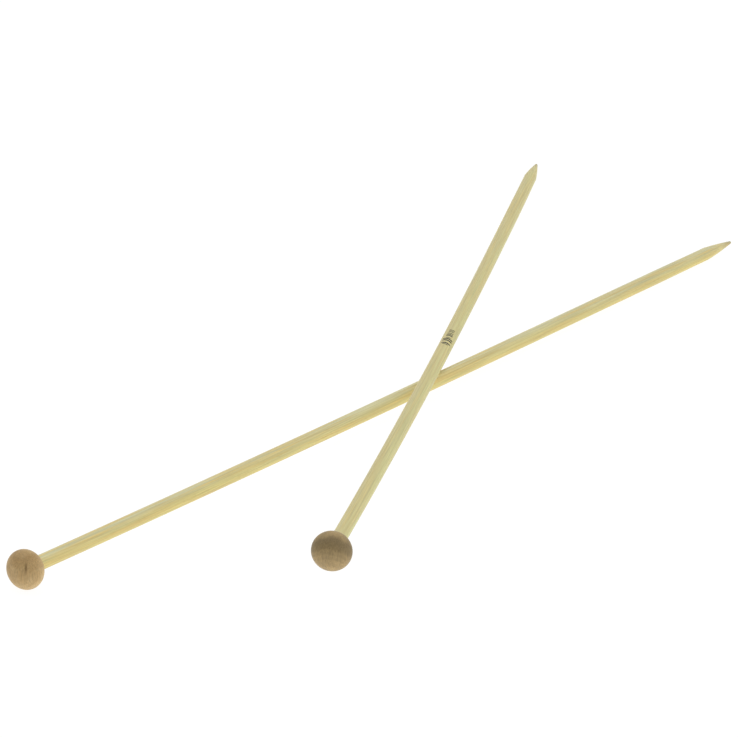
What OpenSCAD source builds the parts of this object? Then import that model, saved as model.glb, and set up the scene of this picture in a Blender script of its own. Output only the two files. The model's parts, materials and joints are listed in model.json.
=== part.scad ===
// A pair of straight, single-point knitting needles, crossed, the upper one resting on the lower.
// Each needle is a bamboo rod with a tapered point, glued into a blind bore in a turned wooden knob.
// Millimetres, +Z up. The needles lie on the plane z = 0. The lower one runs along +X.
// The origin is the middle of the pair's footprint, on that plane.

/* [Shaft] */
// Whole length of a needle, from the knob's outer face to the end of the point
needle_length = 350; // [250:5:400]
// Diameter of the shaft, which is the needle's size
shaft_d = 4.5; // [3:0.25:6]
// Chamfer on the shaft's end inside the knob
shaft_chamfer = 0.4; // [0.1:0.1:0.8]

/* [Point] */
// Length of the tapered point
point_length = 14.2; // [8:0.2:20]
// Diameter of the round end of the point
point_end_d = 1; // [0.6:0.1:1.6]
// How far the point's outline swells past a straight cone, as a share of its drop in radius
point_bulge = 0.03; // [0:0.01:0.25]

/* [Knob] */
// Diameter of the knob
knob_d = 12; // [10:0.5:16]
// Thickness of the knob along the needle
knob_thickness = 9.6; // [9:0.2:14]
// Depth of the bore's straight wall, from the middle of the knob's inner face
bore_depth = 6.4; // [4:0.2:6.8]
// Point angle of the drill that leaves the bore's conical end
drill_angle = 118; // [90:1:140]
// Thickness of the glue around the shaft
glue_gap = 0.1; // [0.05:0.05:0.2]
// Thickness of the glue past the shaft's end
glue_end = 0.3; // [0.1:0.1:1]

/* [Crossing] */
// Angle between the two needles, seen from above
crossing_angle = 28; // [20:1:90]
// Distance from the lower knob's middle to the crossing, along the lower needle
lower_crossing = 183; // [120:1:200]
// Distance from the upper knob's middle to the crossing, along the upper needle
upper_crossing = 145; // [100:1:160]
// Gap left between the two shafts where they cross
crossing_gap = 0.12; // [0.05:0.01:0.3]

/* [Hidden] */
$fn = 96;

bamboo = [0.84, 0.78, 0.58];
knob_wood = [0.63, 0.52, 0.36];
glue_amber = [0.86, 0.80, 0.60];

shaft_r = shaft_d / 2;
knob_r = knob_d / 2;
point_end_r = point_end_d / 2;
bore_r = shaft_r + glue_gap;

// Stations along a needle, measured from the middle of its knob towards the point
knob_half = knob_thickness / 2;
point_x = needle_length - knob_half;
taper_x = point_x - point_length;
end_round_x = point_x - point_end_r;
bore_end_x = knob_half - bore_depth;
shaft_end_x = bore_end_x + glue_end;

// Steps in each curved outline
knob_steps = 44;
taper_steps = 18;
end_steps = 8;

// Half of the knob's extent along a direction that makes the angle a with the needle's axis
function knob_extent(a) = sqrt(pow(knob_half * cos(a), 2) + pow(knob_r * sin(a), 2));

// The lower needle rests on its knob and on the start of its taper
lower_pitch = asin((knob_r - shaft_r) / taper_x);
lower_knob_z = knob_extent(90 - lower_pitch);
crossing_x = lower_crossing * cos(lower_pitch);
lower_crossing_z = lower_knob_z - lower_crossing * sin(lower_pitch);

// The upper needle rests on the lower one and on the start of its own taper
upper_crossing_z = lower_crossing_z + shaft_d + crossing_gap;
upper_pitch = asin((upper_crossing_z - shaft_r) / (taper_x - upper_crossing));
upper_knob_x = crossing_x - upper_crossing * cos(upper_pitch) * cos(crossing_angle);
upper_knob_y = -upper_crossing * cos(upper_pitch) * sin(crossing_angle);
upper_knob_z = upper_crossing_z + upper_crossing * sin(upper_pitch);
upper_point_x = upper_knob_x + end_round_x * cos(upper_pitch) * cos(crossing_angle) + point_end_r;
upper_point_y = upper_knob_y + end_round_x * cos(upper_pitch) * sin(crossing_angle) + point_end_r;

// The footprint: the ends along X of whichever needle reaches further, and across Y from the upper
// knob's side to the upper point
function upper_knob_extent(along) = knob_extent(acos(cos(upper_pitch) * along));
foot_x = [min(-knob_extent(lower_pitch), upper_knob_x - upper_knob_extent(cos(crossing_angle))),
          max(end_round_x * cos(lower_pitch) + point_end_r, upper_point_x)];
foot_y = [upper_knob_y - upper_knob_extent(sin(crossing_angle)), upper_point_y];
origin_x = (foot_x[0] + foot_x[1]) / 2;
origin_y = (foot_y[0] + foot_y[1]) / 2;

// Turns an outline of [distance along the needle, radius] points around the needle's axis
module lathe(outline) {
    rotate([0, 90, 0]) rotate_extrude() polygon([for (p = outline) [p[1], p[0]]]);
}

// The tapered point's radius at the share t of its length, from the full shaft to the round end
function taper_r(t) = shaft_r - (shaft_r - point_end_r) * (t - 4 * point_bulge * t * (1 - t));

// The rod: a chamfered end, the long straight shaft, the swelling taper and the round end
module shaft() {
    taper_span = end_round_x - taper_x;
    color(bamboo) lathe(concat(
        [[shaft_end_x, 0], [shaft_end_x, shaft_r - shaft_chamfer]],
        [[shaft_end_x + shaft_chamfer, shaft_r]],
        [for (i = [0 : taper_steps]) let (t = i / taper_steps)
            [taper_x + taper_span * t, taper_r(t)]],
        [for (i = [1 : end_steps]) let (a = 90 * i / end_steps)
            [end_round_x + point_end_r * sin(a), point_end_r * cos(a)]]));
}

// The bore as the drill leaves it, open through the knob's inner face
module bore() {
    cone_h = bore_r / tan(drill_angle / 2);
    lathe([[bore_end_x - cone_h, 0], [bore_end_x, bore_r], [knob_half, bore_r], [knob_half, 0]]);
}

// The knob before it is drilled: a bead turned to a flattened ball
module knob_blank() {
    lathe([for (i = [0 : knob_steps]) let (a = 180 * i / knob_steps)
        [-knob_half * cos(a), knob_r * sin(a)]]);
}

module knob() {
    color(knob_wood) difference() {
        knob_blank();
        bore();
    }
}

// The glue fills what the shaft leaves of the bore
module glue() {
    color(glue_amber) difference() {
        intersection() {
            knob_blank();
            bore();
        }
        shaft();
    }
}

// Places a needle's piece as the lower needle lies
module as_lower() {
    translate([-origin_x, -origin_y, lower_knob_z]) rotate([0, lower_pitch, 0]) children();
}

// Places a needle's piece as the upper needle lies
module as_upper() {
    translate([upper_knob_x - origin_x, upper_knob_y - origin_y, upper_knob_z])
        rotate([0, upper_pitch, crossing_angle]) children();
}

module lower_shaft() { as_lower() shaft(); }
module lower_knob() { as_lower() knob(); }
module lower_glue() { as_lower() glue(); }
module upper_shaft() { as_upper() shaft(); }
module upper_knob() { as_upper() knob(); }
module upper_glue() { as_upper() glue(); }

lower_shaft();
lower_knob();
lower_glue();
upper_shaft();
upper_knob();
upper_glue();
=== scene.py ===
import json
import math

import bpy
import numpy as np
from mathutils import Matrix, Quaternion, Vector


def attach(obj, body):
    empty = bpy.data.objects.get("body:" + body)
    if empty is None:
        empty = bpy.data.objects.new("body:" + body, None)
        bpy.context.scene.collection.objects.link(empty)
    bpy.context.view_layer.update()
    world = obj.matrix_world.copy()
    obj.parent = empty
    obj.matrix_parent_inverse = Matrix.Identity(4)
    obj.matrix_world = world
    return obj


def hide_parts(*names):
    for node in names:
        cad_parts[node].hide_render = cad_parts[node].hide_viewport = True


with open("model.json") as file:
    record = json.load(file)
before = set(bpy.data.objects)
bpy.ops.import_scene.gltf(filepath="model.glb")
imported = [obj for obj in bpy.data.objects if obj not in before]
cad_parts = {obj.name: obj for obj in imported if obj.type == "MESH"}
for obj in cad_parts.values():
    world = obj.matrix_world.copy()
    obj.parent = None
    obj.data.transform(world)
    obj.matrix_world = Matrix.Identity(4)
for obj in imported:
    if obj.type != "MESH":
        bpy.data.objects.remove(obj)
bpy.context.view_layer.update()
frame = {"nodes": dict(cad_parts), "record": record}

# ---------------------------------------------------------------------------------------------
# The two shafts. Each is a bamboo rod, split from the wall of the cane, turned round and sanded to
# a blunt point, and its inner end is glued into the knob's bore. No rod this thin is quite
# straight: the lower one sags a hair and the upper one arches over it, so they clear each other.

MM = 0.001
SHAFT_RADIUS = 2.25            # all sizes of the rods and knobs are in mm, and turned to metres last
ROD_INNER_END = -1.3           # stations are counted from the middle of the knob towards the point
ROD_INNER_CHAMFER = 0.4
TAPER_START = 331.0
POINT_END = 345.2
POINT_END_RADIUS = 0.5
TAPER_SWELL = 0.07
SLIM_START = 296.0             # the sander takes off a little more on the way to the point
SLIM_SHARE = 0.05
BEND_START = 4.5               # the bore holds the rod straight up to the knob's face
STRAIGHT_ROWS = 210            # how finely the rod's surface is divided
TAPER_STEPS = 40
END_STEPS = 10
ROD_SIDES = 72
SHARP_EDGE = math.radians(38)  # an edge that turns by more than this stays crisp

# The mount at each point gives its place, and the direction of its needle
mounts = {mount["name"]: mount for mount in frame["record"]["mounts"]}


def needle_lines(which):
    """The middle of the knob in mm, and the needle's own three directions: along it to the point,
    level to its left, and square to both, upwards."""
    point = mounts[which + "_point"]
    along = np.array(point["axis"]) / np.linalg.norm(point["axis"])
    left = np.cross([0, 0, 1], along)
    left /= np.linalg.norm(left)
    knob_middle = np.array(point["pos_m"]) / MM - POINT_END * along
    return knob_middle, along, left, np.cross(along, left)


def rod_outline():
    """Stations and radii of the rod: a chamfered end, a straight run that slims a little towards
    its end, a taper whose radius falls in a line plus a swelling parabola, and a quarter circle
    that closes the point. The slimming is a share of the radius, 3u^2 - 2u^3 of it in all, where u
    runs from 0 at its start to 1 at the taper."""
    end_round = POINT_END - POINT_END_RADIUS
    share = np.linspace(0, 1, TAPER_STEPS + 1)[1:]
    fall = share - 4 * TAPER_SWELL * share * (1 - share)
    turn = np.linspace(0, math.pi / 2, END_STEPS + 1)[1:]
    straight_run = np.linspace(BEND_START, TAPER_START, STRAIGHT_ROWS)
    u = np.clip((straight_run - SLIM_START) / (TAPER_START - SLIM_START), 0, 1)
    slim_radius = SHAFT_RADIUS * (1 - SLIM_SHARE)
    stations = np.concatenate([
        [ROD_INNER_END, ROD_INNER_END, ROD_INNER_END + ROD_INNER_CHAMFER],
        straight_run,
        TAPER_START + share * (end_round - TAPER_START),
        end_round + POINT_END_RADIUS * np.sin(turn)])
    radii = np.concatenate([
        [0, SHAFT_RADIUS - ROD_INNER_CHAMFER, SHAFT_RADIUS],
        SHAFT_RADIUS * (1 - SLIM_SHARE * (3 - 2 * u) * u ** 2),
        slim_radius - (slim_radius - POINT_END_RADIUS) * fall,
        POINT_END_RADIUS * np.cos(turn)])
    radii[-1] = 0
    return stations, radii


def skin(name, rings, grain_place):
    """A closed surface through rings of points, an array of rows by columns by three in mm. The
    first and the last ring are each one repeated point, and become a single vertex, so both ends
    are closed by a fan. grain_place is the same array before the piece was bent or set down, and
    is kept on the vertices for the wood to read."""
    rows, columns = rings.shape[:2]
    keep = np.r_[0, columns:(rows - 1) * columns, (rows - 1) * columns]
    points = rings.reshape(-1, 3)[keep] * MM
    row, column = np.meshgrid(np.arange(rows - 3), np.arange(columns), indexing="ij")
    after = (column + 1) % columns
    first = 1 + row * columns
    quads = np.stack([first + column, first + after, first + columns + after,
                      first + columns + column], axis=-1).reshape(-1, 4)
    around = np.arange(columns)
    last_ring = 1 + (rows - 3) * columns
    start_fan = np.stack([0 * around, 1 + (around + 1) % columns, 1 + around], axis=-1)
    end_fan = np.stack([0 * around + len(points) - 1, last_ring + around,
                        last_ring + (around + 1) % columns], axis=-1)
    mesh = bpy.data.meshes.new(name)
    mesh.from_pydata(points.tolist(), [],
                     quads.tolist() + start_fan.tolist() + end_fan.tolist())
    place = mesh.attributes.new("grain_place", "FLOAT_VECTOR", "POINT")
    place.data.foreach_set("vector", grain_place.reshape(-1, 3)[keep].ravel())
    mesh.shade_smooth()
    mesh.set_sharp_from_angle(angle=SHARP_EDGE)
    piece = bpy.data.objects.new(name, mesh)
    bpy.context.scene.collection.objects.link(piece)
    return piece


def rod(name, which, bow, unround):
    """The rod as a surface over station and angle: knob middle + station * along + radius * (cos
    * left + sin * up). Past the knob its line leaves the straight one by 4t(1-t) * (bow[0] +
    bow[1] * (2t-1)) to the left and by 4t(1-t) * bow[2] upwards, where t runs from 0 at the
    knob's face to 1 at the point. The sander leaves the radius unround, by the share unround of a
    wave twice around the rod and one of half its height three times around. A drift is the length
    in mm over which a wave turns by one radian, and the waves come in past the knob."""
    twice_start, twice_drift = 1.1, 47
    thrice_drift = 29
    come_in = 12
    knob_middle, along, left, up = needle_lines(which)
    stations, radii = rod_outline()
    angle = np.linspace(0, 2 * math.pi, ROD_SIDES, endpoint=False)
    s, a = np.meshgrid(stations, angle, indexing="ij")
    twice = np.cos(2 * a + s / twice_drift + twice_start)
    thrice = 0.5 * np.cos(3 * a - s / thrice_drift)
    wave = (twice + thrice) * np.clip((s - BEND_START) / come_in, 0, 1)
    r = radii[:, None] * (1 + unround * wave)
    t = np.clip((s - BEND_START) / (POINT_END - BEND_START), 0, 1)
    sideways = 4 * t * (1 - t) * (bow[0] + bow[1] * (2 * t - 1))
    upwards = 4 * t * (1 - t) * bow[2]
    across, upright = r * np.cos(a), r * np.sin(a)
    rings = (knob_middle + s[..., None] * along + (across + sideways)[..., None] * left
             + (upright + upwards)[..., None] * up)
    return skin(name, rings, np.stack([s, across, upright], axis=-1))


def lay_out(groups):
    """Sets the places of a material's nodes in the node editor. groups pairs each frame with its
    nodes: the frames stand side by side, and the nodes of one zigzag down it."""
    frame_step, zigzag_step, down_step = 520, 230, 190
    for column, (group, members) in enumerate(groups):
        for row, member in enumerate(members):
            member.parent = group
            member.location = (column * frame_step + row % 2 * zigzag_step, -row * down_step)


def bamboo(name, pale, golden, streak, bundle, golden_way, shift, ink):
    """Sanded bamboo. It is paler on one side of the rod and more golden towards the other, a
    direction given as (left, up). Long fibre streaks and darker bundles run along the rod, and the
    cut ends of the fibres darken its point. shift says, in mm, from how far along the cane the rod
    was cut, and ink gives the station and the length of its size mark. Each stroke of the mark is
    its start and end, as shares of that length, and its height, as a share of the mark's."""
    cut_fibres = (0.42, 0.35, 0.20, 1)
    cut_fibres_length = 7
    black_ink = (0.006, 0.007, 0.004, 1)
    mark_middle, mark_half_height = -0.45, 1.45     # in mm, leftwards from the rod's top
    strokes = ((0.01, 0.05, 0.6), (0.08, 0.14, 0.95), (0.25, 0.31, 1), (0.35, 0.41, 1),
               (0.44, 0.47, 0.5), (0.56, 0.61, 0.7), (0.64, 0.68, 0.65), (0.72, 0.76, 0.65),
               (0.82, 0.85, 0.6), (0.88, 0.91, 0.6), (0.94, 0.97, 0.6))
    material = bpy.data.materials.new(name)
    material.use_nodes = True
    tree = material.node_tree
    nodes, links = tree.nodes, tree.links
    nodes.clear()

    grain_frame = nodes.new("NodeFrame")
    grain_frame.label = "where the wood is read"
    side_frame = nodes.new("NodeFrame")
    side_frame.label = "pale side and golden side"
    fibre_frame = nodes.new("NodeFrame")
    fibre_frame.label = "fibre streaks"
    bundle_frame = nodes.new("NodeFrame")
    bundle_frame.label = "darker fibre bundles"
    point_frame = nodes.new("NodeFrame")
    point_frame.label = "cut fibres at the point"
    ink_frame = nodes.new("NodeFrame")
    ink_frame.label = "printed size mark"
    surface_frame = nodes.new("NodeFrame")
    surface_frame.label = "sanded surface"

    place = nodes.new("ShaderNodeAttribute")
    place.label = "place in the straight rod, mm"
    moved = nodes.new("ShaderNodeMapping")
    moved.label = "another part of the cane"

    along_across = nodes.new("ShaderNodeSeparateXYZ")
    along_across.label = "along, left, up"
    towards_golden = nodes.new("ShaderNodeVectorMath")
    towards_golden.label = "height towards the golden side"
    wander = nodes.new("ShaderNodeTexNoise")
    wander.label = "the border wanders"
    wander_stretch = nodes.new("ShaderNodeMapping")
    wander_stretch.label = "long patches"
    wander_amount = nodes.new("ShaderNodeMath")
    wander_amount.label = "border plus wander"
    golden_share = nodes.new("ShaderNodeMapRange")
    golden_share.label = "how golden"
    side_colour = nodes.new("ShaderNodeMix")
    side_colour.label = "pale to golden"

    broad_stretch = nodes.new("ShaderNodeMapping")
    broad_stretch.label = "broad, long streaks"
    broad = nodes.new("ShaderNodeTexNoise")
    broad.label = "broad streaks"
    fine_stretch = nodes.new("ShaderNodeMapping")
    fine_stretch.label = "fine, long streaks"
    fine = nodes.new("ShaderNodeTexNoise")
    fine.label = "fine streaks"
    broad_share = nodes.new("ShaderNodeMapRange")
    broad_share.label = "broad streak strength"
    fine_share = nodes.new("ShaderNodeMapRange")
    fine_share.label = "fine streak brightness"
    streaked = nodes.new("ShaderNodeMix")
    streaked.label = "colour with broad streaks"
    brightened = nodes.new("ShaderNodeMix")
    brightened.label = "colour with fine streaks"

    bundle_stretch = nodes.new("ShaderNodeMapping")
    bundle_stretch.label = "one cell per bundle"
    bundle_cells = nodes.new("ShaderNodeTexVoronoi")
    bundle_cells.label = "distance to a bundle"
    bundle_core = nodes.new("ShaderNodeMapRange")
    bundle_core.label = "inside a bundle"
    bundle_pick = nodes.new("ShaderNodeMath")
    bundle_pick.label = "some bundles are stronger"
    bundled = nodes.new("ShaderNodeMix")
    bundled.label = "colour with bundles"

    point_axes = nodes.new("ShaderNodeSeparateXYZ")
    point_axes.label = "station"
    point_share = nodes.new("ShaderNodeMapRange")
    point_share.label = "how near the end"
    pointed = nodes.new("ShaderNodeMix")
    pointed.label = "colour with the darker point"

    ink_place = nodes.new("ShaderNodeMapping")
    ink_place.label = "in mark sizes"
    ink_axes = nodes.new("ShaderNodeSeparateXYZ")
    ink_axes.label = "along, left, up"
    ink_height = nodes.new("ShaderNodeValToRGB")
    ink_height.label = "height of each stroke"
    ink_off = nodes.new("ShaderNodeMath")
    ink_off.label = "distance from the middle line"
    ink_inside = nodes.new("ShaderNodeMath")
    ink_inside.label = "within the stroke"
    ink_above = nodes.new("ShaderNodeMath")
    ink_above.label = "on the upper half"
    ink_worn = nodes.new("ShaderNodeMapRange")
    ink_worn.label = "ink sinks into soft fibre"
    ink_side = nodes.new("ShaderNodeMath")
    ink_side.label = "strokes on the upper half"
    ink_share = nodes.new("ShaderNodeMath")
    ink_share.label = "how much ink"
    inked = nodes.new("ShaderNodeMix")
    inked.label = "wood or ink"

    roughness = nodes.new("ShaderNodeMapRange")
    roughness.label = "satin, rougher on soft fibre"
    relief = nodes.new("ShaderNodeMath")
    relief.label = "bundles stand proud"
    bump = nodes.new("ShaderNodeBump")
    bump.label = "sanded fibre relief"
    wood = nodes.new("ShaderNodeBsdfPrincipled")
    wood.label = "waxed bamboo"
    output = nodes.new("ShaderNodeOutputMaterial")
    output.label = "surface"

    lay_out([(grain_frame, [place, moved]),
             (side_frame, [along_across, towards_golden, wander_stretch, wander, wander_amount,
                           golden_share, side_colour]),
             (fibre_frame, [broad_stretch, broad, broad_share, streaked, fine_stretch, fine,
                            fine_share, brightened]),
             (bundle_frame, [bundle_stretch, bundle_cells, bundle_core, bundle_pick, bundled]),
             (point_frame, [point_axes, point_share, pointed]),
             (ink_frame, [ink_place, ink_axes, ink_height, ink_off, ink_inside, ink_above,
                          ink_worn, ink_side, ink_share, inked]),
             (surface_frame, [roughness, relief, bump, wood, output])])

    place.attribute_name = "grain_place"
    moved.inputs["Location"].default_value = (shift, 0, 0)

    # The rod is paler on one side and turns golden towards the given direction across it.
    towards_golden.operation = "DOT_PRODUCT"
    towards_golden.inputs[1].default_value = (0, golden_way[0], golden_way[1])
    wander_stretch.inputs["Scale"].default_value = (0.012, 0.25, 0.25)
    wander.inputs["Scale"].default_value = 1
    wander.inputs["Detail"].default_value = 2
    wander_amount.operation = "MULTIPLY_ADD"
    wander_amount.inputs[1].default_value = 2.6
    golden_share.inputs["From Min"].default_value = 0.9
    golden_share.inputs["From Max"].default_value = 3.4
    side_colour.data_type = "RGBA"
    side_colour.inputs["A"].default_value = (*pale, 1)
    side_colour.inputs["B"].default_value = (*golden, 1)

    broad_stretch.inputs["Scale"].default_value = (0.028, 1.1, 1.1)
    broad.inputs["Scale"].default_value = 1
    broad.inputs["Detail"].default_value = 3
    broad.inputs["Roughness"].default_value = 0.6
    broad_share.inputs["From Min"].default_value = 0.44
    broad_share.inputs["From Max"].default_value = 0.62
    broad_share.inputs["To Max"].default_value = 0.85
    streaked.data_type = "RGBA"
    streaked.inputs["B"].default_value = (*streak, 1)
    fine_stretch.inputs["Scale"].default_value = (0.045, 2.3, 2.3)
    fine.inputs["Scale"].default_value = 1
    fine.inputs["Detail"].default_value = 3
    fine.inputs["Roughness"].default_value = 0.65
    fine_share.inputs["From Min"].default_value = 0.3
    fine_share.inputs["From Max"].default_value = 0.7
    fine_share.inputs["To Min"].default_value = 0.82
    fine_share.inputs["To Max"].default_value = 1.13
    brightened.data_type = "RGBA"
    brightened.blend_type = "MULTIPLY"
    brightened.inputs["Factor"].default_value = 1

    bundle_stretch.inputs["Scale"].default_value = (0.03, 1.9, 1.9)
    bundle_cells.inputs["Scale"].default_value = 1
    bundle_cells.inputs["Randomness"].default_value = 0.9
    bundle_core.inputs["From Min"].default_value = 0.3
    bundle_core.inputs["From Max"].default_value = 0.06
    bundle_pick.operation = "MULTIPLY"
    bundled.data_type = "RGBA"
    bundled.inputs["B"].default_value = (*bundle, 1)

    point_share.interpolation_type = "SMOOTHSTEP"
    point_share.inputs["From Min"].default_value = POINT_END - cut_fibres_length
    point_share.inputs["From Max"].default_value = POINT_END
    point_share.inputs["To Max"].default_value = 0.55
    pointed.data_type = "RGBA"
    pointed.inputs["B"].default_value = cut_fibres

    ink_place.vector_type = "TEXTURE"
    ink_place.inputs["Location"].default_value = (ink[0], mark_middle, 0)
    ink_place.inputs["Scale"].default_value = (ink[1], mark_half_height, 1)
    ramp = ink_height.color_ramp
    ramp.interpolation = "CONSTANT"
    for start, end, height in strokes:
        ramp.elements.new(start).color = (height, height, height, 1)
        ramp.elements.new(end).color = (0, 0, 0, 1)
    ramp.elements[0].color = ramp.elements[-1].color = (0, 0, 0, 1)
    ink_off.operation = "ABSOLUTE"
    ink_inside.operation = "LESS_THAN"
    ink_above.operation = "GREATER_THAN"
    ink_above.inputs[1].default_value = 0
    ink_worn.inputs["From Min"].default_value = 0.3
    ink_worn.inputs["From Max"].default_value = 0.6
    ink_worn.inputs["To Min"].default_value = 0.88
    ink_worn.inputs["To Max"].default_value = 1
    ink_side.operation = "MULTIPLY"
    ink_share.operation = "MULTIPLY"
    inked.data_type = "RGBA"
    inked.inputs["B"].default_value = black_ink

    roughness.inputs["From Min"].default_value = 0.3
    roughness.inputs["From Max"].default_value = 0.7
    roughness.inputs["To Min"].default_value = 0.46
    roughness.inputs["To Max"].default_value = 0.62
    relief.operation = "MULTIPLY_ADD"
    relief.inputs[1].default_value = 0.5
    bump.inputs["Strength"].default_value = 0.5
    bump.inputs["Distance"].default_value = 0.03 * MM
    wood.inputs["Specular IOR Level"].default_value = 0.42

    links.new(place.outputs["Vector"], moved.inputs["Vector"])

    links.new(moved.outputs["Vector"], along_across.inputs["Vector"])
    links.new(place.outputs["Vector"], towards_golden.inputs[0])
    links.new(moved.outputs["Vector"], wander_stretch.inputs["Vector"])
    links.new(wander_stretch.outputs["Vector"], wander.inputs["Vector"])
    links.new(wander.outputs["Fac"], wander_amount.inputs[0])
    links.new(towards_golden.outputs["Value"], wander_amount.inputs[2])
    links.new(wander_amount.outputs["Value"], golden_share.inputs["Value"])
    links.new(golden_share.outputs["Result"], side_colour.inputs["Factor"])

    links.new(moved.outputs["Vector"], broad_stretch.inputs["Vector"])
    links.new(broad_stretch.outputs["Vector"], broad.inputs["Vector"])
    links.new(broad.outputs["Fac"], broad_share.inputs["Value"])
    links.new(broad_share.outputs["Result"], streaked.inputs["Factor"])
    links.new(side_colour.outputs["Result"], streaked.inputs["A"])
    links.new(moved.outputs["Vector"], fine_stretch.inputs["Vector"])
    links.new(fine_stretch.outputs["Vector"], fine.inputs["Vector"])
    links.new(fine.outputs["Fac"], fine_share.inputs["Value"])
    links.new(fine_share.outputs["Result"], brightened.inputs["B"])
    links.new(streaked.outputs["Result"], brightened.inputs["A"])

    links.new(moved.outputs["Vector"], bundle_stretch.inputs["Vector"])
    links.new(bundle_stretch.outputs["Vector"], bundle_cells.inputs["Vector"])
    links.new(bundle_cells.outputs["Distance"], bundle_core.inputs["Value"])
    links.new(bundle_core.outputs["Result"], bundle_pick.inputs[0])
    links.new(broad.outputs["Fac"], bundle_pick.inputs[1])
    links.new(bundle_pick.outputs["Value"], bundled.inputs["Factor"])
    links.new(brightened.outputs["Result"], bundled.inputs["A"])

    links.new(place.outputs["Vector"], point_axes.inputs["Vector"])
    links.new(point_axes.outputs["X"], point_share.inputs["Value"])
    links.new(point_share.outputs["Result"], pointed.inputs["Factor"])
    links.new(bundled.outputs["Result"], pointed.inputs["A"])

    links.new(place.outputs["Vector"], ink_place.inputs["Vector"])
    links.new(ink_place.outputs["Vector"], ink_axes.inputs["Vector"])
    links.new(ink_axes.outputs["X"], ink_height.inputs["Fac"])
    links.new(ink_axes.outputs["Y"], ink_off.inputs[0])
    links.new(ink_off.outputs["Value"], ink_inside.inputs[0])
    links.new(ink_height.outputs["Color"], ink_inside.inputs[1])
    links.new(ink_axes.outputs["Z"], ink_above.inputs[0])
    links.new(fine.outputs["Fac"], ink_worn.inputs["Value"])
    links.new(ink_inside.outputs["Value"], ink_side.inputs[0])
    links.new(ink_above.outputs["Value"], ink_side.inputs[1])
    links.new(ink_side.outputs["Value"], ink_share.inputs[0])
    links.new(ink_worn.outputs["Result"], ink_share.inputs[1])
    links.new(ink_share.outputs["Value"], inked.inputs["Factor"])
    links.new(pointed.outputs["Result"], inked.inputs["A"])

    links.new(fine.outputs["Fac"], roughness.inputs["Value"])
    links.new(roughness.outputs["Result"], wood.inputs["Roughness"])
    links.new(bundle_core.outputs["Result"], relief.inputs[0])
    links.new(fine.outputs["Fac"], relief.inputs[2])
    links.new(relief.outputs["Value"], bump.inputs["Height"])
    links.new(bump.outputs["Normal"], wood.inputs["Normal"])
    links.new(inked.outputs["Result"], wood.inputs["Base Color"])
    links.new(wood.outputs["BSDF"], output.inputs["Surface"])
    return material


NO_MARK = (-9, 1)              # it would lie before the rod's start

lower_shaft = rod("lower_bamboo_shaft", "lower", bow=(-0.83, 0.47, -0.06), unround=0.005)
lower_shaft.data.materials.append(bamboo(
    "lower_bamboo", pale=(0.76, 0.72, 0.42), golden=(0.80, 0.69, 0.26), streak=(0.84, 0.65, 0.24),
    bundle=(0.60, 0.49, 0.22), golden_way=(-0.8, -0.6), shift=40, ink=NO_MARK))
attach(lower_shaft, "lower_needle")
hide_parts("lower_shaft")

upper_shaft = rod("upper_bamboo_shaft", "upper", bow=(-1.6, 0.31, 0.08), unround=0.005)
upper_shaft.data.materials.append(bamboo(
    "upper_bamboo", pale=(0.73, 0.65, 0.33), golden=(0.72, 0.68, 0.31), streak=(0.74, 0.62, 0.27),
    bundle=(0.56, 0.48, 0.24), golden_way=(-0.9, 0.1), shift=900, ink=(161.5, 13.3)))
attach(upper_shaft, "upper_needle")
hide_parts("upper_shaft")

# ---------------------------------------------------------------------------------------------
# The two knobs. Each is a bead of fine-grained hardwood, turned to a slightly flattened ball and
# drilled from one side, across its grain. The bore ends in the cone that the drill leaves, and
# its edge is lightly broken with sandpaper. The rod is glued into it.

KNOB_RADIUS = 6.0
KNOB_HALF = 4.8
BORE_RADIUS = 2.35
BORE_END = -1.6
BORE_CONE = 1.41
BORE_EDGE = 0.12
BALL_ROWS = 70                 # how finely the knob's surface is divided
EDGE_STEPS = 6
WALL_STEPS = 7
KNOB_SIDES = 96
RING_AND_SHADE_REACH = 8                # further out than any part of the knob's growth rings


def bead(name, which, unround):
    """The bead as a surface over its outline and an angle. The outline is an ellipse from the
    outer pole to the bore's edge, a quarter circle over the edge, the bore's wall and its cone.
    Hand sanding leaves its radius unround, by the share unround of a wave twice around it that
    drifts as the rod's do and fades out at the pole and at the bore."""
    twice_start, twice_drift = 0.8, 6
    knob_middle, along, left, up = needle_lines(which)
    edge_angle = math.pi - math.asin((BORE_RADIUS + BORE_EDGE) / KNOB_RADIUS)
    sweep = np.linspace(0, edge_angle, BALL_ROWS)
    edge_turn = np.linspace(0, math.pi / 2, EDGE_STEPS + 1)[1:]
    mouth = -KNOB_HALF * math.cos(edge_angle)
    stations = np.concatenate([
        -KNOB_HALF * np.cos(sweep),
        mouth - BORE_EDGE * (1 - np.cos(edge_turn)),
        np.linspace(mouth - BORE_EDGE, BORE_END, WALL_STEPS + 1)[1:],
        [BORE_END - BORE_CONE]])
    radii = np.concatenate([
        KNOB_RADIUS * np.sin(sweep),
        BORE_RADIUS + BORE_EDGE * (1 - np.sin(edge_turn)),
        np.full(WALL_STEPS, BORE_RADIUS), [0]])
    radii[0] = 0
    angle = np.linspace(0, 2 * math.pi, KNOB_SIDES, endpoint=False)
    s, a = np.meshgrid(stations, angle, indexing="ij")
    girth = np.clip((radii[:, None] - BORE_RADIUS - BORE_EDGE) / KNOB_RADIUS, 0, 1)
    wave = girth * np.cos(2 * a + twice_start + s / twice_drift)
    r = radii[:, None] * (1 + unround * wave)
    across, upright = r * np.cos(a), r * np.sin(a)
    rings = (knob_middle + s[..., None] * along + across[..., None] * left
             + upright[..., None] * up)
    return skin(name, rings, np.stack([s, across, upright], axis=-1))


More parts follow.
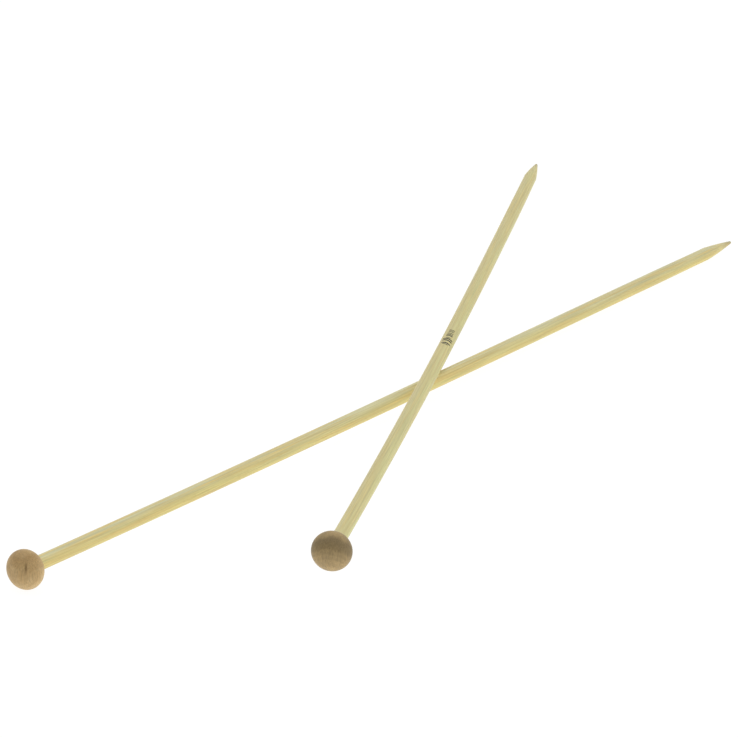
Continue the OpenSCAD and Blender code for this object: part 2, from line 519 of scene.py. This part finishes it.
def turned_wood(name, wood_colour, dark, pale, arch, rings_and_top_shade, fleck):
    """Turned and waxed hardwood, cut so that its growth rings cross the outer face as arches. Its
    growth height is up + arch[1] * (left - arch[0]) squared, and a ring is all that has one growth
    height: it rises to the arch's middle where arch[1] is above zero and falls to it where it is
    below. arch[2] says from where in the tree the soft patches come. heart lists growth heights in
    mm, between -RING_AND_SHADE_REACH and RING_AND_SHADE_REACH, with how dark the knob is painted
    there. This is partly the wood's broad, darker growth rings and partly painted shade: the listed
    darkness is mostly greatest high up, so it paints each knob darker towards its top and lighter
    towards its bottom. Fine fibres and pores run upwards. fleck is a short dark mark: its middle,
    its turn about the upright, its half sizes and its strength."""
    pore_shade, fleck_shade = 0.55, 0.45
    material = bpy.data.materials.new(name)
    material.use_nodes = True
    tree = material.node_tree
    nodes, links = tree.nodes, tree.links
    nodes.clear()

    grain_frame = nodes.new("NodeFrame")
    grain_frame.label = "growth height"
    ring_frame = nodes.new("NodeFrame")
    ring_frame.label = "growth rings"
    ring_shade_frame = nodes.new("NodeFrame")
    ring_shade_frame.label = "broad darker rings and painted top shade"
    fibre_frame = nodes.new("NodeFrame")
    fibre_frame.label = "fibres and pores"
    fleck_frame = nodes.new("NodeFrame")
    fleck_frame.label = "dark fleck"
    surface_frame = nodes.new("NodeFrame")
    surface_frame.label = "turned surface"

    place = nodes.new("ShaderNodeAttribute")
    place.label = "place in the bead, mm"
    axes = nodes.new("ShaderNodeSeparateXYZ")
    axes.label = "along, left, up"
    beside = nodes.new("ShaderNodeMath")
    beside.label = "left of the arch's middle"
    squared = nodes.new("ShaderNodeMath")
    squared.label = "squared"
    growth = nodes.new("ShaderNodeMath")
    growth.label = "growth height"

    cloud_stretch = nodes.new("ShaderNodeMapping")
    cloud_stretch.label = "soft patches"
    cloud = nodes.new("ShaderNodeTexNoise")
    cloud.label = "uneven colour"
    cloud_share = nodes.new("ShaderNodeMapRange")
    cloud_share.label = "patch strength"
    clouded = nodes.new("ShaderNodeMix")
    clouded.label = "colour with patches"
    wavy = nodes.new("ShaderNodeMath")
    wavy.label = "rings waver"
    years = nodes.new("ShaderNodeTexNoise")
    years.label = "uneven years"
    year_share = nodes.new("ShaderNodeMapRange")
    year_share.label = "ring strength"
    ringed = nodes.new("ShaderNodeMix")
    ringed.label = "colour with rings"

    ring_shade_span = nodes.new("ShaderNodeMapRange")
    ring_shade_span.label = "share of the height"
    ring_shade_dark = nodes.new("ShaderNodeValToRGB")
    ring_shade_dark.label = "how dark it is there"
    ring_shaded = nodes.new("ShaderNodeMix")
    ring_shaded.label = "colour with the dark rings and painted shade"

    fibre_stretch = nodes.new("ShaderNodeMapping")
    fibre_stretch.label = "fibres run up"
    fibre = nodes.new("ShaderNodeTexNoise")
    fibre.label = "fibres"
    fibre_share = nodes.new("ShaderNodeMapRange")
    fibre_share.label = "fibre brightness"
    fibred = nodes.new("ShaderNodeMix")
    fibred.label = "colour with fibres"
    pore_stretch = nodes.new("ShaderNodeMapping")
    pore_stretch.label = "short pores"
    pore_cells = nodes.new("ShaderNodeTexVoronoi")
    pore_cells.label = "distance to a pore"
    pore_core = nodes.new("ShaderNodeMapRange")
    pore_core.label = "inside a pore"
    pored = nodes.new("ShaderNodeMix")
    pored.label = "colour with pores"

    fleck_place = nodes.new("ShaderNodeMapping")
    fleck_place.label = "in fleck sizes"
    fleck_far = nodes.new("ShaderNodeVectorMath")
    fleck_far.label = "distance to the fleck"
    fleck_share = nodes.new("ShaderNodeMapRange")
    fleck_share.label = "inside the fleck"
    flecked = nodes.new("ShaderNodeMix")
    flecked.label = "colour with the fleck"

    tool_lines = nodes.new("ShaderNodeTexWave")
    tool_lines.label = "turning lines"
    relief = nodes.new("ShaderNodeMath")
    relief.label = "lines and fibres"
    bump = nodes.new("ShaderNodeBump")
    bump.label = "fine relief"
    roughness = nodes.new("ShaderNodeMapRange")
    roughness.label = "satin, uneven wax"
    wood = nodes.new("ShaderNodeBsdfPrincipled")
    wood.label = "waxed hardwood"
    output = nodes.new("ShaderNodeOutputMaterial")
    output.label = "surface"

    lay_out([(grain_frame, [place, axes, beside, squared, growth]),
             (ring_frame, [cloud_stretch, cloud, cloud_share, clouded, wavy, years, year_share,
                           ringed]),
             (ring_shade_frame, [ring_shade_span, ring_shade_dark, ring_shaded]),
             (fibre_frame, [fibre_stretch, fibre, fibre_share, fibred, pore_stretch, pore_cells,
                            pore_core, pored]),
             (fleck_frame, [fleck_place, fleck_far, fleck_share, flecked]),
             (surface_frame, [tool_lines, relief, bump, roughness, wood, output])])

    place.attribute_name = "grain_place"
    beside.operation = "SUBTRACT"
    beside.inputs[1].default_value = arch[0]
    squared.operation = "MULTIPLY"
    growth.operation = "MULTIPLY_ADD"
    growth.inputs[1].default_value = arch[1]

    cloud_stretch.inputs["Location"].default_value = arch[2]
    cloud_stretch.inputs["Scale"].default_value = (0.32, 0.32, 0.2)
    cloud.inputs["Scale"].default_value = 1
    cloud.inputs["Detail"].default_value = 2
    cloud_share.inputs["From Min"].default_value = 0.4
    cloud_share.inputs["From Max"].default_value = 0.62
    clouded.data_type = "RGBA"
    clouded.inputs["A"].default_value = (*wood_colour, 1)
    clouded.inputs["B"].default_value = (*pale, 1)
    wavy.operation = "MULTIPLY_ADD"
    wavy.inputs[1].default_value = 1.4
    years.noise_dimensions = "1D"
    years.inputs["Scale"].default_value = 0.9
    years.inputs["Detail"].default_value = 3
    year_share.inputs["From Min"].default_value = 0.45
    year_share.inputs["From Max"].default_value = 0.75
    year_share.inputs["To Max"].default_value = 0.35
    ringed.data_type = "RGBA"
    ringed.inputs["B"].default_value = (*dark, 1)

    # The dark ring ramp is partly the wood's darker growth rings and partly painted shade: it
    # darkens each knob towards its top and leaves its bottom lighter.
    ring_shade_span.inputs["From Min"].default_value = -RING_AND_SHADE_REACH
    ring_shade_span.inputs["From Max"].default_value = RING_AND_SHADE_REACH
    ring_shade_dark.color_ramp.interpolation = "EASE"
    for height, darkness in rings_and_top_shade:
        share = (height + RING_AND_SHADE_REACH) / (2 * RING_AND_SHADE_REACH)
        stop = ring_shade_dark.color_ramp.elements.new(share)
        stop.color = (darkness, darkness, darkness, 1)
    ring_shade_dark.color_ramp.elements[-1].color = (0, 0, 0, 1)
    ring_shaded.data_type = "RGBA"
    ring_shaded.inputs["B"].default_value = (*dark, 1)

    fibre_stretch.inputs["Scale"].default_value = (3.2, 3.2, 0.3)
    fibre.inputs["Scale"].default_value = 1
    fibre.inputs["Detail"].default_value = 4
    fibre.inputs["Roughness"].default_value = 0.6
    fibre_share.inputs["From Min"].default_value = 0.3
    fibre_share.inputs["From Max"].default_value = 0.7
    fibre_share.inputs["To Min"].default_value = 0.78
    fibre_share.inputs["To Max"].default_value = 1.18
    fibred.data_type = "RGBA"
    fibred.blend_type = "MULTIPLY"
    fibred.inputs["Factor"].default_value = 1
    pore_stretch.inputs["Scale"].default_value = (2.2, 2.2, 0.55)
    pore_cells.inputs["Scale"].default_value = 1
    pore_core.inputs["From Min"].default_value = 0.24
    pore_core.inputs["From Max"].default_value = 0.06
    pore_core.inputs["To Max"].default_value = 0.6
    pored.data_type = "RGBA"
    pored.inputs["B"].default_value = (*[pore_shade * part for part in dark], 1)

    fleck_place.vector_type = "TEXTURE"
    fleck_place.inputs["Location"].default_value = fleck[0]
    fleck_place.inputs["Rotation"].default_value = (0, 0, math.radians(fleck[1]))
    fleck_place.inputs["Scale"].default_value = fleck[2]
    fleck_far.operation = "LENGTH"
    fleck_share.interpolation_type = "SMOOTHSTEP"
    fleck_share.inputs["From Min"].default_value = 1
    fleck_share.inputs["From Max"].default_value = 0
    fleck_share.inputs["To Max"].default_value = fleck[3]
    flecked.data_type = "RGBA"
    flecked.inputs["B"].default_value = (*[fleck_shade * part for part in dark], 1)

    tool_lines.bands_direction = "X"
    tool_lines.inputs["Scale"].default_value = 0.55
    tool_lines.inputs["Distortion"].default_value = 0.6
    relief.operation = "MULTIPLY_ADD"
    relief.inputs[1].default_value = 0.06
    bump.inputs["Strength"].default_value = 0.6
    bump.inputs["Distance"].default_value = 0.03 * MM
    roughness.inputs["From Min"].default_value = 0.3
    roughness.inputs["From Max"].default_value = 0.7
    roughness.inputs["To Min"].default_value = 0.44
    roughness.inputs["To Max"].default_value = 0.6
    wood.inputs["Specular IOR Level"].default_value = 0.3

    links.new(place.outputs["Vector"], axes.inputs["Vector"])
    links.new(axes.outputs["Y"], beside.inputs[0])
    links.new(beside.outputs["Value"], squared.inputs[0])
    links.new(beside.outputs["Value"], squared.inputs[1])
    links.new(squared.outputs["Value"], growth.inputs[0])
    links.new(axes.outputs["Z"], growth.inputs[2])

    links.new(place.outputs["Vector"], cloud_stretch.inputs["Vector"])
    links.new(cloud_stretch.outputs["Vector"], cloud.inputs["Vector"])
    links.new(cloud.outputs["Fac"], cloud_share.inputs["Value"])
    links.new(cloud_share.outputs["Result"], clouded.inputs["Factor"])
    links.new(cloud.outputs["Fac"], wavy.inputs[0])
    links.new(growth.outputs["Value"], wavy.inputs[2])
    links.new(wavy.outputs["Value"], years.inputs["W"])
    links.new(years.outputs["Fac"], year_share.inputs["Value"])
    links.new(year_share.outputs["Result"], ringed.inputs["Factor"])
    links.new(clouded.outputs["Result"], ringed.inputs["A"])

    links.new(wavy.outputs["Value"], ring_shade_span.inputs["Value"])
    links.new(ring_shade_span.outputs["Result"], ring_shade_dark.inputs["Fac"])
    links.new(ring_shade_dark.outputs["Color"], ring_shaded.inputs["Factor"])
    links.new(ringed.outputs["Result"], ring_shaded.inputs["A"])

    links.new(place.outputs["Vector"], fibre_stretch.inputs["Vector"])
    links.new(fibre_stretch.outputs["Vector"], fibre.inputs["Vector"])
    links.new(fibre.outputs["Fac"], fibre_share.inputs["Value"])
    links.new(fibre_share.outputs["Result"], fibred.inputs["B"])
    links.new(ring_shaded.outputs["Result"], fibred.inputs["A"])
    links.new(place.outputs["Vector"], pore_stretch.inputs["Vector"])
    links.new(pore_stretch.outputs["Vector"], pore_cells.inputs["Vector"])
    links.new(pore_cells.outputs["Distance"], pore_core.inputs["Value"])
    links.new(pore_core.outputs["Result"], pored.inputs["Factor"])
    links.new(fibred.outputs["Result"], pored.inputs["A"])

    links.new(place.outputs["Vector"], fleck_place.inputs["Vector"])
    links.new(fleck_place.outputs["Vector"], fleck_far.inputs[0])
    links.new(fleck_far.outputs["Value"], fleck_share.inputs["Value"])
    links.new(fleck_share.outputs["Result"], flecked.inputs["Factor"])
    links.new(pored.outputs["Result"], flecked.inputs["A"])
    links.new(flecked.outputs["Result"], wood.inputs["Base Color"])

    links.new(place.outputs["Vector"], tool_lines.inputs["Vector"])
    links.new(tool_lines.outputs["Fac"], relief.inputs[0])
    links.new(fibre.outputs["Fac"], relief.inputs[2])
    links.new(relief.outputs["Value"], bump.inputs["Height"])
    links.new(bump.outputs["Normal"], wood.inputs["Normal"])
    links.new(fibre.outputs["Fac"], roughness.inputs["Value"])
    links.new(roughness.outputs["Result"], wood.inputs["Roughness"])
    links.new(wood.outputs["BSDF"], output.inputs["Surface"])
    return material


lower_knob = bead("lower_turned_knob", "lower", unround=0.006)
lower_knob.data.materials.append(turned_wood(
    "lower_knob_wood", wood_colour=(0.64, 0.445, 0.205), dark=(0.42, 0.258, 0.098),
    pale=(0.74, 0.54, 0.27), arch=(0, -0.1, (3, 5, 2)),
    # darker growth rings, and painted shade that darkens the knob towards its top
    rings_and_top_shade=[(-4, 0), (-2.5, 0.1), (-1, 0.3), (0.5, 0.4), (2, 0.3), (3.5, 0.6), (5, 0.7), (7, 0.4)],
    fleck=((-3.34, -3.42, 2.6), -50, (0.6, 4, 2.3), 0.85)))
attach(lower_knob, "lower_needle")
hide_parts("lower_knob")

upper_knob = bead("upper_turned_knob", "upper", unround=0.006)
upper_knob.data.materials.append(turned_wood(
    "upper_knob_wood", wood_colour=(0.52, 0.375, 0.18), dark=(0.26, 0.19, 0.09),
    pale=(0.65, 0.46, 0.21), arch=(0, 0.09, (21, 2, 8)),
    # darker growth rings, and painted shade that darkens the knob towards its top
    rings_and_top_shade=[(-4, 0.05), (-1.5, 0.2), (1.2, 0.3), (2.6, 0.55), (4, 0.88), (5.5, 0.95), (7, 0.35)],
    fleck=((-4, 2, 0.2), 0, (0.4, 0.4, 0.9), 0.2)))
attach(upper_knob, "upper_needle")
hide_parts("upper_knob")

# ---------------------------------------------------------------------------------------------
# The glue. It fills the gap between each rod and its bore, and only a hair-thin amber ring shows
# where the rod goes into the knob. The frame's own solids have the right shape and stay.

CLEAR_GLUE = (0.62, 0.50, 0.26, 1)
DUSTY_GLUE = (0.44, 0.32, 0.15, 1)
DUST_SCALE = 1400              # the solids are in metres, so a cloud of dust is 0.7 mm across
glue = bpy.data.materials.new("set_wood_glue")
glue.use_nodes = True
glue_nodes, glue_links = glue.node_tree.nodes, glue.node_tree.links
glue_nodes.clear()
glue_frame = glue_nodes.new("NodeFrame")
glue_frame.label = "cloudy set glue"
glue_place = glue_nodes.new("ShaderNodeTexCoord")
glue_place.label = "place on the needle"
glue_cloud = glue_nodes.new("ShaderNodeTexNoise")
glue_cloud.label = "wood dust in the glue"
glue_tint = glue_nodes.new("ShaderNodeMix")
glue_tint.label = "clear to dusty"
glue_skin = glue_nodes.new("ShaderNodeMapRange")
glue_skin.label = "uneven gloss"
glue_film = glue_nodes.new("ShaderNodeBsdfPrincipled")
glue_film.label = "set glue"
glue_output = glue_nodes.new("ShaderNodeOutputMaterial")
glue_output.label = "surface"
lay_out([(glue_frame, [glue_place, glue_cloud, glue_tint, glue_skin, glue_film, glue_output])])
glue_cloud.inputs["Scale"].default_value = DUST_SCALE
glue_tint.data_type = "RGBA"
glue_tint.inputs["A"].default_value = CLEAR_GLUE
glue_tint.inputs["B"].default_value = DUSTY_GLUE
glue_skin.inputs["To Min"].default_value = 0.25
glue_skin.inputs["To Max"].default_value = 0.5
glue_links.new(glue_place.outputs["Object"], glue_cloud.inputs["Vector"])
glue_links.new(glue_cloud.outputs["Fac"], glue_tint.inputs["Factor"])
glue_links.new(glue_cloud.outputs["Fac"], glue_skin.inputs["Value"])
glue_links.new(glue_tint.outputs["Result"], glue_film.inputs["Base Color"])
glue_links.new(glue_skin.outputs["Result"], glue_film.inputs["Roughness"])
glue_links.new(glue_film.outputs["BSDF"], glue_output.inputs["Surface"])
for name in ("lower_glue", "upper_glue"):
    ring = frame["nodes"][name]
    ring.data.materials.clear()
    ring.data.materials.append(glue)

# ---------------------------------------------------------------------------------------------
# The table. A plain white sheet, lit so evenly from below and above that it shows no shadow and
# throws a bright, soft light on the undersides of the needles.

TABLE_HALF = 6.0               # in metres, as all that follows but the camera's lens
TABLE_TOP = -0.00003           # a hair under the lowest points, so that no two faces coincide
table_mesh = bpy.data.meshes.new("table")
table_mesh.from_pydata([(-TABLE_HALF, -TABLE_HALF, TABLE_TOP), (TABLE_HALF, -TABLE_HALF, TABLE_TOP),
                        (TABLE_HALF, TABLE_HALF, TABLE_TOP), (-TABLE_HALF, TABLE_HALF, TABLE_TOP)],
                       [], [(0, 1, 2, 3)])
table = bpy.data.objects.new("table", table_mesh)
bpy.context.scene.collection.objects.link(table)
sheet = bpy.data.materials.new("white_sheet")
sheet.use_nodes = True
sheet_nodes, sheet_links = sheet.node_tree.nodes, sheet.node_tree.links
sheet_nodes.clear()
sheet_frame = sheet_nodes.new("NodeFrame")
sheet_frame.label = "bright white sheet"
sheet_face = sheet_nodes.new("ShaderNodeBsdfPrincipled")
sheet_face.label = "sheet"
sheet_output = sheet_nodes.new("ShaderNodeOutputMaterial")
sheet_output.label = "surface"
lay_out([(sheet_frame, [sheet_face, sheet_output])])
sheet_face.inputs["Base Color"].default_value = (0.14, 0.14, 0.14, 1)
sheet_face.inputs["Roughness"].default_value = 0.9
sheet_face.inputs["Specular IOR Level"].default_value = 0
sheet_face.inputs["Emission Color"].default_value = (1, 1, 1, 1)
sheet_face.inputs["Emission Strength"].default_value = 0.93
sheet_links.new(sheet_face.outputs["BSDF"], sheet_output.inputs["Surface"])
table_mesh.materials.append(sheet)

# ---------------------------------------------------------------------------------------------
# The studio. Pale walls give an even light from all round, apart from the unlit end of the room
# in front, and one large soft box hangs overhead.

UNLIT_END = (-0.93, -0.1, 0.28)
SOFT_BOX_PLACE = Vector((-0.4, 0.5, 1.2))
walls = bpy.data.worlds.new("studio_walls")
walls.use_nodes = True
bpy.context.scene.world = walls
wall_nodes, wall_links = walls.node_tree.nodes, walls.node_tree.links
wall_nodes.clear()
wall_frame = wall_nodes.new("NodeFrame")
wall_frame.label = "pale walls, one end unlit"
wall_way = wall_nodes.new("ShaderNodeTexCoord")
wall_way.label = "direction in the room"
wall_facing = wall_nodes.new("ShaderNodeVectorMath")
wall_facing.label = "towards the unlit end"
wall_glow = wall_nodes.new("ShaderNodeMapRange")
wall_glow.label = "how bright the wall is"
wall_light = wall_nodes.new("ShaderNodeBackground")
wall_light.label = "wall"
wall_output = wall_nodes.new("ShaderNodeOutputWorld")
wall_output.label = "world"
lay_out([(wall_frame, [wall_way, wall_facing, wall_glow, wall_light, wall_output])])
wall_facing.operation = "DOT_PRODUCT"
wall_facing.inputs[1].default_value = Vector(UNLIT_END).normalized()
wall_glow.interpolation_type = "SMOOTHSTEP"
wall_glow.inputs["From Min"].default_value = 0.2
wall_glow.inputs["From Max"].default_value = 0.95
wall_glow.inputs["To Min"].default_value = 1.06
wall_glow.inputs["To Max"].default_value = 0.1
wall_links.new(wall_way.outputs["Generated"], wall_facing.inputs[0])
wall_links.new(wall_facing.outputs["Value"], wall_glow.inputs["Value"])
wall_links.new(wall_glow.outputs["Result"], wall_light.inputs["Strength"])
wall_links.new(wall_light.outputs["Background"], wall_output.inputs["Surface"])

soft_box = bpy.data.lights.new("soft_box", "AREA")
soft_box.shape = "SQUARE"
soft_box.size = 1.4
soft_box.energy = 4
soft_box_stand = bpy.data.objects.new("soft_box", soft_box)
bpy.context.scene.collection.objects.link(soft_box_stand)
soft_box_stand.location = SOFT_BOX_PLACE
soft_box_stand.rotation_mode = "QUATERNION"
soft_box_stand.rotation_quaternion = (-SOFT_BOX_PLACE).to_track_quat("-Z", "Y")

bpy.context.scene.view_settings.view_transform = "Standard"
bpy.context.scene.view_settings.look = "None"

# ---------------------------------------------------------------------------------------------
# The camera. A long lens looks down at the pair from the front left, from a metre and a half
# away, and it is rolled by a little under one degree.

CAMERA_PLACE = Vector((-1.07097, -0.8671, 0.60767))
CAMERA_TARGET = Vector((0.008529, 0.016155, 0))
CAMERA_ROLL = math.radians(0.81)
lens = bpy.data.cameras.new("long_lens")
lens.sensor_width = 36
lens.lens = 234.17
lens.clip_start = 0.05
lens.clip_end = 30
camera = bpy.data.objects.new("camera", lens)
bpy.context.scene.collection.objects.link(camera)
camera.location = CAMERA_PLACE
camera.rotation_mode = "QUATERNION"
camera.rotation_quaternion = ((CAMERA_TARGET - CAMERA_PLACE).to_track_quat("-Z", "Y")
                              @ Quaternion((0, 0, 1), CAMERA_ROLL))
bpy.context.scene.camera = camera
